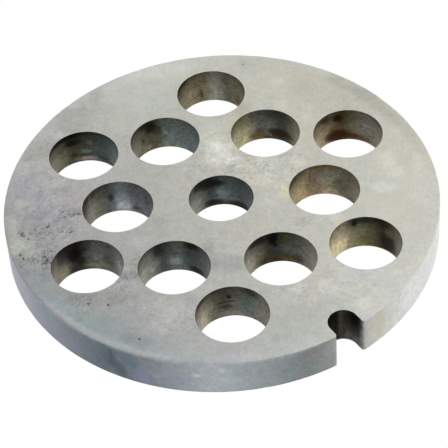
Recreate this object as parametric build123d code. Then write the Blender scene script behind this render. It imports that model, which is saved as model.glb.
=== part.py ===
from build123d import *

import math
import os

# Perforated plate of a hand-cranked or motor mincer, size 8: one disc of tool
# steel, turned, drilled in two rings, slotted for the locating key and ground
# flat on both faces. The knife wipes one face and the food leaves by the other.
#
# Frame: origin on the axis of the stud bore at the lower face, +Z up through
# the plate, the key notch on -Y. Millimetres.

# ---- driving dimensions -------------------------------------------------
PLATE_D = 62.0  # outside diameter, seats in the grinder's head
PLATE_T = 5.9  # thickness over the two ground faces
RIM_BREAK = 0.25  # 45 degree edge break round the rim, both faces

BORE_D = 9.2  # running bore for the stud at the end of the feed screw

HOLE_D = 10.1  # mincing holes, drilled straight through, edges left sharp
RING_COUNT = 6  # holes in each of the two rings
INNER_RING_R = 14.75  # pitch radius of the inner ring, one hole on the notch's line
OUTER_RING_R = 22.35  # pitch radius of the outer ring, half a step round

NOTCH_W = 4.2  # width of the parallel-sided key notch
NOTCH_DEPTH = 3.8  # from the rim to the bottom of its round end
NOTCH_MOUTH_R = 0.4  # the two mouth corners, rounded over

# ---- derived ------------------------------------------------------------
R = PLATE_D / 2
STEP = 360 / RING_COUNT
NOTCH_ANGLE = -90.0
NOTCH_END_R = NOTCH_W / 2
NOTCH_END_CENTRE = R - NOTCH_DEPTH + NOTCH_END_R  # centre of the round end


def polar(radius, degrees):
    a = math.radians(degrees)
    return (radius * math.cos(a), radius * math.sin(a))


inner = [polar(INNER_RING_R, NOTCH_ANGLE + STEP * k) for k in range(RING_COUNT)]
outer = [polar(OUTER_RING_R, NOTCH_ANGLE + STEP * (k + 0.5)) for k in range(RING_COUNT)]

# ---- outline: disc with the key notch let into the rim ------------------
slot = Pos(0, -(NOTCH_END_CENTRE + 5)) * Rectangle(NOTCH_W, 10) + Pos(
    0, -NOTCH_END_CENTRE
) * Circle(NOTCH_END_R)
outline = Circle(R) - slot
mouth = [
    v
    for v in outline.vertices()
    if abs(math.hypot(v.X, v.Y) - R) < 1e-3 and abs(abs(v.X) - NOTCH_W / 2) < 1e-3
]
assert len(mouth) == 2
outline = fillet(mouth, NOTCH_MOUTH_R)

# ---- drilled pattern ----------------------------------------------------
drilled = Circle(BORE_D / 2)
for x, y in inner + outer:
    drilled += Pos(x, y) * Circle(HOLE_D / 2)

plate = extrude(outline - drilled, PLATE_T)


# ---- edge breaks on the rim only, as turned, before the slot's own edges -
def rim_cutter(z_face, outward):
    over = 1.0
    with BuildPart() as cutter:
        with BuildSketch(Plane.XZ):
            with BuildLine():
                Polyline(
                    (R - RIM_BREAK - over, z_face + outward * over),
                    (R + over, z_face - outward * (RIM_BREAK + over)),
                    (R + over, z_face + outward * over),
                    close=True,
                )
            make_face()
        revolve(axis=Axis.Z)
    return cutter.part


plate = plate - rim_cutter(PLATE_T, +1) - rim_cutter(0.0, -1)
solid = plate.solid()
assert solid is not None and solid.is_valid
solid.label = "plate"

# ---- checks on the drilling: no hole may run into a neighbour -----------
centres = [(0.0, 0.0, BORE_D / 2)] + [(x, y, HOLE_D / 2) for x, y in inner + outer]
webs = [
    math.hypot(a[0] - b[0], a[1] - b[1]) - a[2] - b[2]
    for i, a in enumerate(centres)
    for b in centres[i + 1 :]
]
assert min(webs) > 1.5
print("thinnest web %.2f mm, rim wall %.2f mm" % (min(webs), R - OUTER_RING_R - HOLE_D / 2))
print("volume %.1f mm3, about %.1f g of steel" % (solid.volume, solid.volume * 7.85e-3))

os.makedirs("parts", exist_ok=True)
export_step(solid, "parts/plate.step")
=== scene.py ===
import math

import bpy
import numpy as np
from mathutils import Matrix, Vector
from mathutils.geometry import delaunay_2d_cdt


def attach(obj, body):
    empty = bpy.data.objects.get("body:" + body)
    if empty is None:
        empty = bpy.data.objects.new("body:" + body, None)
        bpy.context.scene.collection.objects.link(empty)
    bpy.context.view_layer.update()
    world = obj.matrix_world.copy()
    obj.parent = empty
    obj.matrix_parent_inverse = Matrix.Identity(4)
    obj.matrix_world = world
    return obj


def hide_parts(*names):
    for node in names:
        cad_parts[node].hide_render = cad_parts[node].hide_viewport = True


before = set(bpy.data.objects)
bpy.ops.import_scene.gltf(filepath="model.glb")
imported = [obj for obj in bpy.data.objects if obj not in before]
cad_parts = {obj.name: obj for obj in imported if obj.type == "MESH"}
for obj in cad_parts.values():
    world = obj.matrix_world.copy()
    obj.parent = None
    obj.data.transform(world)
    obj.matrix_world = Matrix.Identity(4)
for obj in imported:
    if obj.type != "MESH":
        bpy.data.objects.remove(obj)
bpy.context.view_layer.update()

rng = np.random.default_rng(8)

# --------------------------------------------------------------------------
# sizes, in millimetres, as the CAD model has them
# --------------------------------------------------------------------------
T = 5.9
R = 30.985  # a hair inside the CAD rim
BORE_R, HOLE_R = 4.6, 5.05
RING_IN, RING_OUT = 14.75, 22.35
NOTCH_HALF, NOTCH_Y, MOUTH_R = 2.1, 29.3, 0.4
TURN = 31.2  # the camera looks along a line this far round from +Y
ct, st = math.cos(math.radians(TURN)), math.sin(math.radians(TURN))


def seen(x, y):
    """Row frame to the camera's own plan view: x to the right, y away."""
    return x * ct - y * st, x * st + y * ct


def row(x, y):
    return x * ct + y * st, -x * st + y * ct


def srgb(r, g, b):
    c = np.array([r, g, b], float) / 255
    return np.where(c <= 0.04045, c / 12.92, ((c + 0.055) / 1.055) ** 2.4)


def smooth01(x):
    x = np.clip(x, 0, 1)
    return x * x * (3 - 2 * x)


# holes in the order: centre, inner ring, outer ring, by the seen angle
holes = [(0.0, 0.0, BORE_R)]
for k in range(6):
    a = math.radians(1.2 + 60 * k)
    x, y = row(RING_IN * math.cos(a), RING_IN * math.sin(a))
    holes.append((x, y, HOLE_R))
for k in range(6):
    a = math.radians(31.2 + 60 * k)
    x, y = row(RING_OUT * math.cos(a), RING_OUT * math.sin(a))
    holes.append((x, y, HOLE_R))


# --------------------------------------------------------------------------
# smooth seeded noise, for shapes made in mesh code
# --------------------------------------------------------------------------
class Lattice:
    def __init__(self, seed, n=64):
        self.n = n
        self.v = np.random.default_rng(seed).uniform(-1, 1, (n, n, n)).astype(np.float32)

    def __call__(self, p):
        p = np.asarray(p, float)
        i = np.floor(p).astype(int)
        f = p - i
        f = f * f * (3 - 2 * f)
        n, out = self.n, 0
        for dx in (0, 1):
            for dy in (0, 1):
                for dz in (0, 1):
                    w = (
                        np.where(dx, f[:, 0], 1 - f[:, 0])
                        * np.where(dy, f[:, 1], 1 - f[:, 1])
                        * np.where(dz, f[:, 2], 1 - f[:, 2])
                    )
                    out = out + w * self.v[(i[:, 0] + dx) % n, (i[:, 1] + dy) % n, (i[:, 2] + dz) % n]
        return out

    def fbm(self, p, octaves=4, gain=0.5):
        p = np.asarray(p, float)
        s, a, t = 0, 1.0, 0.0
        for k in range(octaves):
            s = s + a * self(p * 2.03**k + 11.3 * k)
            t += a
            a *= gain
        return s / t


noise_a, noise_b, noise_c = Lattice(1), Lattice(2), Lattice(3)


# --------------------------------------------------------------------------
# outlines: points and outward normals, counter-clockwise round the solid
# --------------------------------------------------------------------------
def rim_outline():
    pts, nrm, kind = [], [], []
    fy = -math.sqrt((R - MOUTH_R) ** 2 - (NOTCH_HALF + MOUTH_R) ** 2)
    a0 = math.atan2(fy, NOTCH_HALF + MOUTH_R)
    a1 = math.pi - a0  # the same place on the notch's other side
    n = 600
    for a in np.linspace(a0, a1, n, endpoint=False):
        pts.append((R * math.cos(a), R * math.sin(a)))
        nrm.append((math.cos(a), math.sin(a)))
        kind.append(0.0)
    cx = -(NOTCH_HALF + MOUTH_R)
    for a in np.linspace(a1, 2 * math.pi, 9, endpoint=False):  # left mouth corner
        pts.append((cx + MOUTH_R * math.cos(a), fy + MOUTH_R * math.sin(a)))
        nrm.append((math.cos(a), math.sin(a)))
        kind.append(smooth01((a - a1) / (2 * math.pi - a1)))
    for y in np.linspace(fy, -NOTCH_Y, 5, endpoint=False):  # left wall
        pts.append((-NOTCH_HALF, y))
        nrm.append((1.0, 0.0))
        kind.append(1.0)
    for a in np.linspace(math.pi, 0, 34, endpoint=False):  # round end
        pts.append((NOTCH_HALF * math.cos(a), -NOTCH_Y + NOTCH_HALF * math.sin(a)))
        nrm.append((-math.cos(a), -math.sin(a)))
        kind.append(1.0)
    for y in np.linspace(-NOTCH_Y, fy, 5, endpoint=False):  # right wall
        pts.append((NOTCH_HALF, y))
        nrm.append((-1.0, 0.0))
        kind.append(1.0)
    for a in np.linspace(-math.pi, a0, 9, endpoint=False):  # right mouth corner
        pts.append((-cx + MOUTH_R * math.cos(a), fy + MOUTH_R * math.sin(a)))
        nrm.append((math.cos(a), math.sin(a)))
        kind.append(1 - smooth01((a + math.pi) / (a0 + math.pi)))
    return np.array(pts), np.array(nrm), np.array(kind)


# --------------------------------------------------------------------------
# walls: each is a closed loop swept down in rows, with rounded edges
# --------------------------------------------------------------------------
EDGE = [0, 22.5, 45, 67.5, 90]


def wall_rows(n_mid):
    """(where on the edge rounds, height share) for each row from the top face to the bottom one."""
    rows = [("t", math.radians(a)) for a in EDGE]
    rows += [("m", k / (n_mid + 1)) for k in range(1, n_mid + 1)]
    rows += [("b", math.radians(a)) for a in reversed(EDGE)]
    return rows


co, attrs, quads, quad_uv, loops_top, loops_bot = [], [], [], [], [], []
# attrs: zone (0 face top, 1 face bottom, 2 rim, 3 bore, 4 notch), angle seen, height share, hole,
# edge (-1 on a face's own loop, 1 on a rounded edge, 0 on the wall), how far into the notch, normal
count = 0


def add_wall(pts, nrm, e_top, e_bot, rows, zone, angle, hole, wobble, turn_in=0.0):
    """Adds the rows of a wall and returns the index of its first and last loops."""
    global count
    n = len(pts)
    arc = np.concatenate([[0], np.cumsum(np.linalg.norm(np.diff(np.vstack([pts, pts[:1]]), axis=0), axis=1))])
    first = count
    down = [0.0]
    last_o, last_z = None, None
    for what, q in rows:
        if what == "t":
            off, z = e_top * (1 - math.sin(q)), T - e_top * (1 - math.cos(q))
        elif what == "b":
            off, z = e_bot * (1 - math.sin(q)), e_bot * (1 - math.cos(q))
        else:
            z = (T - e_top) * (1 - q) + e_bot * q
            off = 0 * e_top
        h = z / T
        w = wobble(h, what, q)
        p = pts - nrm * (off + w)[:, None]
        co.append(np.column_stack([p, z]))
        edge = -1.0 if (what != "m" and q == 0) else float(what != "m" and q < math.radians(80))
        way = nrm * math.sin(q) if what != "m" else nrm
        up_ = math.cos(q) * (1 if what == "t" else -1) if what != "m" else 0.0
        attrs.append(np.column_stack([zone, angle, h, np.full(n, hole), np.full(n, edge), np.full(n, 1.0) * turn_in, way, np.full(n, up_)]))
        if last_o is not None:
            down.append(down[-1] + float(np.mean(np.hypot(off - last_o, z - last_z))))
        last_o, last_z = off, z
        count += n
    total = down[-1]
    for r in range(len(rows) - 1):
        i0, i1 = first + r * n, first + (r + 1) * n
        for k in range(n):
            k2 = (k + 1) % n
            quads.append((i0 + k, i1 + k, i1 + k2, i0 + k2))
            quad_uv.append((hole, arc[k], arc[k + 1], arc[-1], down[r], down[r + 1], total))
    return first, first + (len(rows) - 1) * n, n


# the rim, with small knocks along both edges
pts, nrm, kind = rim_outline()
ang_row = np.arctan2(pts[:, 1], pts[:, 0])
sx, sy = seen(pts[:, 0], pts[:, 1])
ang_seen = np.degrees(np.arctan2(sy, sx))
circ = np.column_stack([pts * 0.55, np.zeros(len(pts))])
knock = np.zeros(len(pts))
knock_b = np.zeros(len(pts))
for k in range(46):
    a = rng.uniform(-math.pi, math.pi)
    w = rng.uniform(0.25, 0.8) / R
    d = np.abs((ang_row - a + math.pi) % (2 * math.pi) - math.pi)
    target = knock if k % 2 else knock_b
    target += rng.uniform(0.03, 0.16) * np.exp(-((d / w) ** 2))
e_rim_t = 0.10 + 0.03 * noise_a.fbm(circ, 3) + 0.7 * knock
e_rim_b = 0.07 + 0.02 * noise_b.fbm(circ, 3) + 0.7 * knock_b
e_t = e_rim_t * (1 - kind) + 0.05 * kind
e_b = e_rim_b * (1 - kind) + 0.05 * kind
# the notch's right mouth corner is knocked back at the top
e_t += 0.22 * np.exp(-(((pts[:, 0] - 2.2) / 0.28) ** 2)) * (pts[:, 1] < -29.8) * np.exp(-(((pts[:, 1] + 30.7) / 0.35) ** 2))


def rim_wobble(h, what, q):
    p = np.column_stack([pts * 0.5, np.full(len(pts), h * T * 0.5)])
    w = 0.003 + 0.003 * noise_c.fbm(p, 3)
    return w * (1 - kind) + kind * (0.012 + 0.012 * noise_c.fbm(p * 2.4, 2))


rim_first = add_wall(
    pts, nrm, e_t, e_b, wall_rows(15), np.where(kind > 0.5, 4.0, 2.0), ang_seen, 20, rim_wobble, kind
)
loops_top.append((rim_first[0], rim_first[2]))
loops_bot.append((rim_first[1], rim_first[2]))

N_HOLE = 112
for i, (hx, hy, hr) in enumerate(holes):
    a = np.linspace(0, 2 * math.pi, N_HOLE, endpoint=False)[::-1]  # clockwise: the solid is outside
    n_out = -np.column_stack([np.cos(a), np.sin(a)])
    p = np.array([hx, hy]) - n_out * hr
    ux, uy = seen(-n_out[:, 0], -n_out[:, 1])
    seen_a = np.degrees(np.arctan2(uy, ux)) % 360
    ring = np.column_stack([p * 0.8, np.full(N_HOLE, 3.0 * i)])
    e_t = 0.035 + 0.014 * noise_a.fbm(ring, 2)
    e_b = 0.05 + 0.02 * noise_b.fbm(ring, 2)

    def hole_wobble(h, what, q, p=p, i=i):
        s = np.column_stack([p * 0.9, np.full(N_HOLE, h * T * 0.35 + 7 * i)])
        return 0.006 + 0.006 * noise_c.fbm(s, 3)

    f = add_wall(p, n_out, e_t, e_b, wall_rows(15), np.full(N_HOLE, 3.0), seen_a, i, hole_wobble)
    loops_top.append((f[0], f[2]))
    loops_bot.append((f[1], f[2]))

wall_co = np.vstack(co)
wall_at = np.vstack(attrs)


# --------------------------------------------------------------------------
# faces: triangulated between the loops, with a fine net and sunk pits
# --------------------------------------------------------------------------
def inside(x, y, margin):
    """How far a point is inside the face's solid area, less the margin."""
    d = R - 0.2 - np.hypot(x, y)
    for hx, hy, hr in holes:
        d = np.minimum(d, np.hypot(x - hx, y - hy) - hr)
    slot = np.where(
        y < -NOTCH_Y, np.abs(x) - NOTCH_HALF, np.hypot(x, y + NOTCH_Y) - NOTCH_HALF
    )
    return np.minimum(d, slot) - margin


# pits worth their own geometry: seen x, y, radius, depth (mm)
PITS = [
    (-16.3, -19.1, 0.24, 0.06),
    (-12.2, -25.7, 0.20, 0.05),
    (-20.9, -1.2, 0.18, 0.05),
    (-24.7, -10.1, 0.20, 0.05),
    (4.6, 28.4, 0.14, 0.03),
]
pits_top = [p for p in PITS]


def sow(n, cx, cy, sx_, sy_, r0, r1, into, rnd):
    """Seeded small pits scattered round a place."""
    tries = 0
    while n > 0 and tries < 4000:
        tries += 1
        x, y = cx + rnd.normal() * sx_, cy + rnd.normal() * sy_
        r = rnd.uniform(r0, r1)
        bx, by = row(x, y)
        if inside(np.array([bx]), np.array([by]), 1.7 * r + 0.12)[0] < 0:
            continue
        if any(math.hypot(x - q[0], y - q[1]) < 1.5 * (r + q[2]) + 0.05 for q in into):
            continue
        into.append((x, y, r, r * rnd.uniform(0.18, 0.32)))
        n -= 1


rp = np.random.default_rng(21)
sow(7, -24.0, -5.5, 2.6, 3.4, 0.07, 0.14, pits_top, rp)
sow(3, -21.6, -2.0, 1.2, 1.8, 0.07, 0.14, pits_top, rp)
sow(3, -14.6, -14.6, 1.5, 1.6, 0.07, 0.13, pits_top, rp)
sow(3, -19.0, -16.5, 4.0, 3.0, 0.06, 0.11, pits_top, rp)
sow(2, -22.0, 8.0, 4.0, 5.0, 0.06, 0.10, pits_top, rp)
sow(6, 0.0, 0.0, 15.0, 15.0, 0.05, 0.09, pits_top, rp)
pits_bot = []
sow(24, 9.0, -14.0, 5.0, 5.0, 0.08, 0.2, pits_bot, rp)
sow(40, 0.0, 0.0, 14.0, 14.0, 0.06, 0.14, pits_bot, rp)


def face_points(spacing, pits):
    """Net points, in the row frame, and each one's sinking and pit share."""
    xs = []
    h = spacing * math.sqrt(3) / 2
    rnd = np.random.default_rng(5)
    for j, y in enumerate(np.arange(-R, R, h)):
        x = np.arange(-R, R, spacing) + (spacing / 2 if j % 2 else 0)
        xs.append(np.column_stack([x, np.full(len(x), y)]))
    xy = np.vstack(xs)
    xy += rnd.uniform(-0.18, 0.18, xy.shape) * spacing
    xy = xy[inside(xy[:, 0], xy[:, 1], 0.45 * spacing + 0.25) > 0]
    px = np.array([row(p[0], p[1]) for p in pits])
    pr = np.array([p[2] for p in pits])
    keep = np.ones(len(xy), bool)
    for (x, y), r in zip(px, pr):
        keep &= np.hypot(xy[:, 0] - x, xy[:, 1] - y) > 1.45 * r + 0.12
    xy = xy[keep]
    sink, share = np.zeros(len(xy)), np.zeros(len(xy))
    # guard ring, so that the shading of an edge stays at the edge
    ring, taken = [], []
    for hx, hy, hr in holes:
        a = np.linspace(0, 2 * math.pi, 88, endpoint=False) + 0.03
        ring.append(np.column_stack([hx + (hr + 0.24) * np.cos(a), hy + (hr + 0.24) * np.sin(a)]))
    a = np.linspace(0, 2 * math.pi, 420, endpoint=False)
    ring.append(np.column_stack([(R - 0.52) * np.cos(a), (R - 0.52) * np.sin(a)]))
    ring = np.vstack(ring)
    ring = ring[inside(ring[:, 0], ring[:, 1], 0.12) > 0]
    ok = np.ones(len(ring), bool)
    for (x, y), r in zip(px, pr):
        ok &= np.hypot(ring[:, 0] - x, ring[:, 1] - y) > 1.45 * r + 0.08
    ring = ring[ok]
    pit_xy, pit_s, pit_m = [], [], []
    for (x, y), r, p in zip(px, pr, pits):
        d = p[3]
        skew, turn = rnd.uniform(0.75, 1.15), rnd.uniform(0, math.pi)
        for k, (rr, s, m, cnt) in enumerate(
            ((0.0, 1.0, 1.0, 1), (0.42, 0.93, 1.0, 6), (0.78, 0.5, 0.8, 9), (1.05, 0.07, 0.15, 11), (1.35, 0.0, 0.0, 12))
        ):
            for q in range(cnt):
                t = 2 * math.pi * (q + 0.5 * k) / cnt
                wr = rr * r * (1 + (rnd.uniform(-0.16, 0.16) if 0 < k < 4 else 0))
                ex, ey = wr * math.cos(t), wr * math.sin(t) * skew
                pit_xy.append((x + ex * math.cos(turn) - ey * math.sin(turn), y + ex * math.sin(turn) + ey * math.cos(turn)))
                pit_s.append(s * d)
                pit_m.append(m)
    pit_xy = np.array(pit_xy)
    good = inside(pit_xy[:, 0], pit_xy[:, 1], 0.05) > 0
    pit_xy, pit_s, pit_m = pit_xy[good], np.array(pit_s)[good], np.array(pit_m)[good]
    out = np.vstack([xy, ring, pit_xy])
    return (
        out,
        np.concatenate([sink, np.zeros(len(ring)), pit_s]),
        np.concatenate([share, np.zeros(len(ring)), pit_m]),
    )


def build_face(loops, spacing, pits, top):
    """Triangles of one face, between its outer loop and the loops of its holes."""
    global count
    edge_xy, edge_id, rings = [], [], []
    for k, (first, n) in enumerate(loops):
        base = len(edge_xy)
        edge_xy += [tuple(p) for p in wall_co[first : first + n, :2]]
        edge_id += list(range(first, first + n))
        ring = list(range(base, base + n))
        rings.append(ring if k == 0 else ring[::-1])
    xy, sink, share = face_points(spacing, pits)
    n_edge = len(edge_xy)
    coords = [Vector(p) for p in edge_xy] + [Vector(p) for p in xy]
    v, _, f, ov, _, of_ = delaunay_2d_cdt(coords, [], rings, 1, 1e-7)
    new_co, new_pit = [], []
    ids = np.full(len(v), -1)
    for i, o in enumerate(ov):
        s = min(o) if o else -1
        if 0 <= s < n_edge:
            ids[i] = edge_id[s]
            continue
        d = sink[s - n_edge] if s >= n_edge else 0.0
        ids[i] = count + len(new_co)
        new_co.append((v[i][0], v[i][1], T - d if top else d))
        new_pit.append(share[s - n_edge] if s >= n_edge else 0.0)
    tris, used = [], set()
    for t, o in zip(f, of_):
        if list(o) != [0]:
            continue
        q = [int(ids[k]) for k in t]
        used.update(q)
        tris.append(q if top else q[::-1])
    # points that fell in no triangle are dropped
    old = [i for i in range(len(new_co)) if count + i in used]
    place = {count + i: count + k for k, i in enumerate(old)}
    tris = [tuple(place.get(i, i) for i in t) for t in tris]
    count += len(old)
    return np.array(new_co)[old], np.array(new_pit)[old], tris


top_co, top_pit, top_tris = build_face(loops_top, 0.52, pits_top, True)
bot_co, bot_pit, bot_tris = build_face(loops_bot, 0.70, pits_bot, False)

verts = np.vstack([wall_co, top_co, bot_co])
n_wall = len(wall_co)
zone = np.concatenate([wall_at[:, 0], np.zeros(len(top_co)), np.ones(len(bot_co))])
angle = np.concatenate([wall_at[:, 1], np.zeros(len(top_co) + len(bot_co))])
height = np.concatenate([wall_at[:, 2], np.ones(len(top_co)), np.zeros(len(bot_co))])
hole_no = np.concatenate([wall_at[:, 3], np.full(len(top_co) + len(bot_co), -1.0)])
pit = np.concatenate([np.zeros(n_wall), top_pit, bot_pit])
edge = np.concatenate([wall_at[:, 4], np.full(len(top_co) + len(bot_co), -1.0)])
in_notch = np.concatenate([wall_at[:, 5], np.zeros(len(top_co) + len(bot_co))])
faces_n = np.vstack([np.tile([0.0, 0.0, 1.0], (len(top_co), 1)), np.tile([0.0, 0.0, -1.0], (len(bot_co), 1))])
normal = np.vstack([wall_at[:, 6:9], faces_n])

faces = [tuple(int(i) for i in q) for q in quads] + top_tris + bot_tris
mesh = bpy.data.meshes.new("grinder_plate")
mesh.from_pydata((verts / 1000).tolist(), [], faces)
mesh.update()

plate = bpy.data.objects.new("grinder_plate", mesh)
bpy.context.scene.collection.objects.link(plate)
mesh.polygons.foreach_set("use_smooth", [True] * len(mesh.polygons))

# the line where the ground face meets a rounded edge stays crisp
loop_ids = set()
for first, n in loops_top + loops_bot:
    for k in range(n):
        loop_ids.add((min(first + k, first + (k + 1) % n), max(first + k, first + (k + 1) % n)))
for e in mesh.edges:
    a, b = e.vertices
    if (min(a, b), max(a, b)) in loop_ids:
        e.use_edge_sharp = True

# --------------------------------------------------------------------------
# the room, in the seen frame: what is above the bench, the bench by azimuth,
# and two large softboxes
# --------------------------------------------------------------------------
UPPER = [(0.38, 0.39, 0.41), (0.76, 0.755, 0.725)]  # left, right
BENCH = [
    (-180, (0.33, 0.35, 0.39)),
    (-150, (0.31, 0.33, 0.37)),
    (-110, (0.42, 0.44, 0.46)),
    (-85, (0.51, 0.52, 0.53)),
    (-50, (0.42, 0.43, 0.45)),
    (-30, (0.48, 0.48, 0.47)),
    (-5, (0.66, 0.65, 0.61)),
    (35, (0.84, 0.83, 0.78)),
    (75, (0.88, 0.88, 0.86)),
    (120, (0.62, 0.63, 0.66)),
    (180, (0.33, 0.35, 0.39)),
]
ROOM_POWER = 1.5
SOFTBOXES = [
    ("key", (0.30, 0.75, 0.75), 1.2, 0.5, (1.0, 0.98, 0.94)),
    ("fill", (-0.5, -0.1, 0.6), 0.6, 0.6, (0.86, 0.92, 1.0)),
]

# --------------------------------------------------------------------------
# colour: how each place should look in this room, put down as soft ragged
# stains in a few named tints; the steel's own colour follows from that and
# from how bright the room makes each place. Tones are 0 to 255. Places are
# seen millimetres on a face, and seen degrees and depth (0 top, 1 bottom) on
# a wall.
# --------------------------------------------------------------------------
# Some looks below hold light or shade that the room doesn't give; that part is painted into the colour, and each such
# place is marked painted light or painted shade.
px, py = seen(verts[:, 0], verts[:, 1])
pr_, pa_ = np.hypot(px, py), np.degrees(np.arctan2(py, px))
depth = 1 - verts[:, 2] / T
rag_a = noise_a.fbm(verts * 0.55, 4)
rag_b = noise_b.fbm(verts * 1.25 + 7, 3)
ragged = 0.75 * rag_a + 0.45 * rag_b

TINTS = {
    "ink": (30, 31, 28),
    "slate": (72, 82, 87),
    "teal": (84, 99, 99),
    "moss": (64, 84, 68),
    "olive": (84, 84, 62),
    "amber": (104, 83, 34),
    "umber": (68, 52, 32),
    "rust": (84, 50, 32),
    "rose": (114, 99, 92),
    "lilac": (84, 86, 98),
    "pewter": (108, 110, 105),
    "pearl": (130, 136, 142),
    "stone": (120, 116, 100),
    "straw": (152, 146, 112),
    "tan": (140, 128, 104),
    "bone": (186, 172, 140),
    "steel": (160, 166, 169),
    "grey": (124, 127, 128),
    "ash": (187, 185, 178),
    "mist": (152, 156, 165),
    "bark": (68, 60, 48),
    "white": (238, 239, 235),
}


def tint(name, k=1.0):
    return np.array(TINTS[name], float) * k


def patch(cx, cy, a, b, turn=0.0, frays=0.5):
    """Soft ragged ellipse on a face: half strength at a and b."""
    c, s = math.cos(math.radians(turn)), math.sin(math.radians(turn))
    u = ((px - cx) * c + (py - cy) * s) / a
    v = (-(px - cx) * s + (py - cy) * c) / b
    return smooth01(1.5 - np.hypot(u, v) - frays * ragged)


def crescent(ca, wa, cr, wr, frays=0.5):
    """Soft ragged strip on a face that follows the rim."""
    da = (pa_ - ca + 180) % 360 - 180
    return smooth01(1.5 - np.hypot(da / wa, (pr_ - cr) / wr) - frays * ragged)


def smear(ca, wa, ch, wh, frays=0.5):
    """Soft ragged ellipse on a wall."""
    da = (angle - ca + 180) % 360 - 180
    return smooth01(1.5 - np.hypot(da / wa, (depth - ch) / wh) - frays * ragged)


def blend_round(ang, stops, soft=0.0):
    """Tint by angle, through stops that close on themselves, blurred by a few degrees."""
    a = np.array([s[0] for s in stops], float)
    c = np.array([s[1] for s in stops], float)
    grid = np.arange(360.0)
    t = np.column_stack([np.interp(grid, a, c[:, k], period=360) for k in range(c.shape[1])])
    if soft:
        w = np.exp(-0.5 * (((grid + 180) % 360 - 180) / soft) ** 2)
        t = np.real(np.fft.ifft(np.fft.fft(t, axis=0) * np.fft.fft(w / w.sum())[:, None], axis=0))
    return np.column_stack([np.interp(ang, grid, t[:, k], period=360) for k in range(c.shape[1])])


def lay(under, m, colour):
    m = m[:, None]
    return under * (1 - m) + colour * m


# ---- the ground face: a broad grey that falls off to the left, front and back; this fall-off is partly painted shade, standing for light from the right and over the middle, and partly the heavier staining at the left
tone = 187.5 + 0.57 * px + 0.25 * py - 0.0155 * px**2 - 0.022 * px * py - 0.0104 * py**2
warm = 8.4 + 0.19 * px + 0.14 * py - 0.005 * px**2 - 0.0018 * px * py - 0.004 * py**2
green = 4.0 + 0.062 * px + 0.045 * py - 0.0017 * px**2 - 0.0008 * px * py - 0.0009 * py**2
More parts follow.
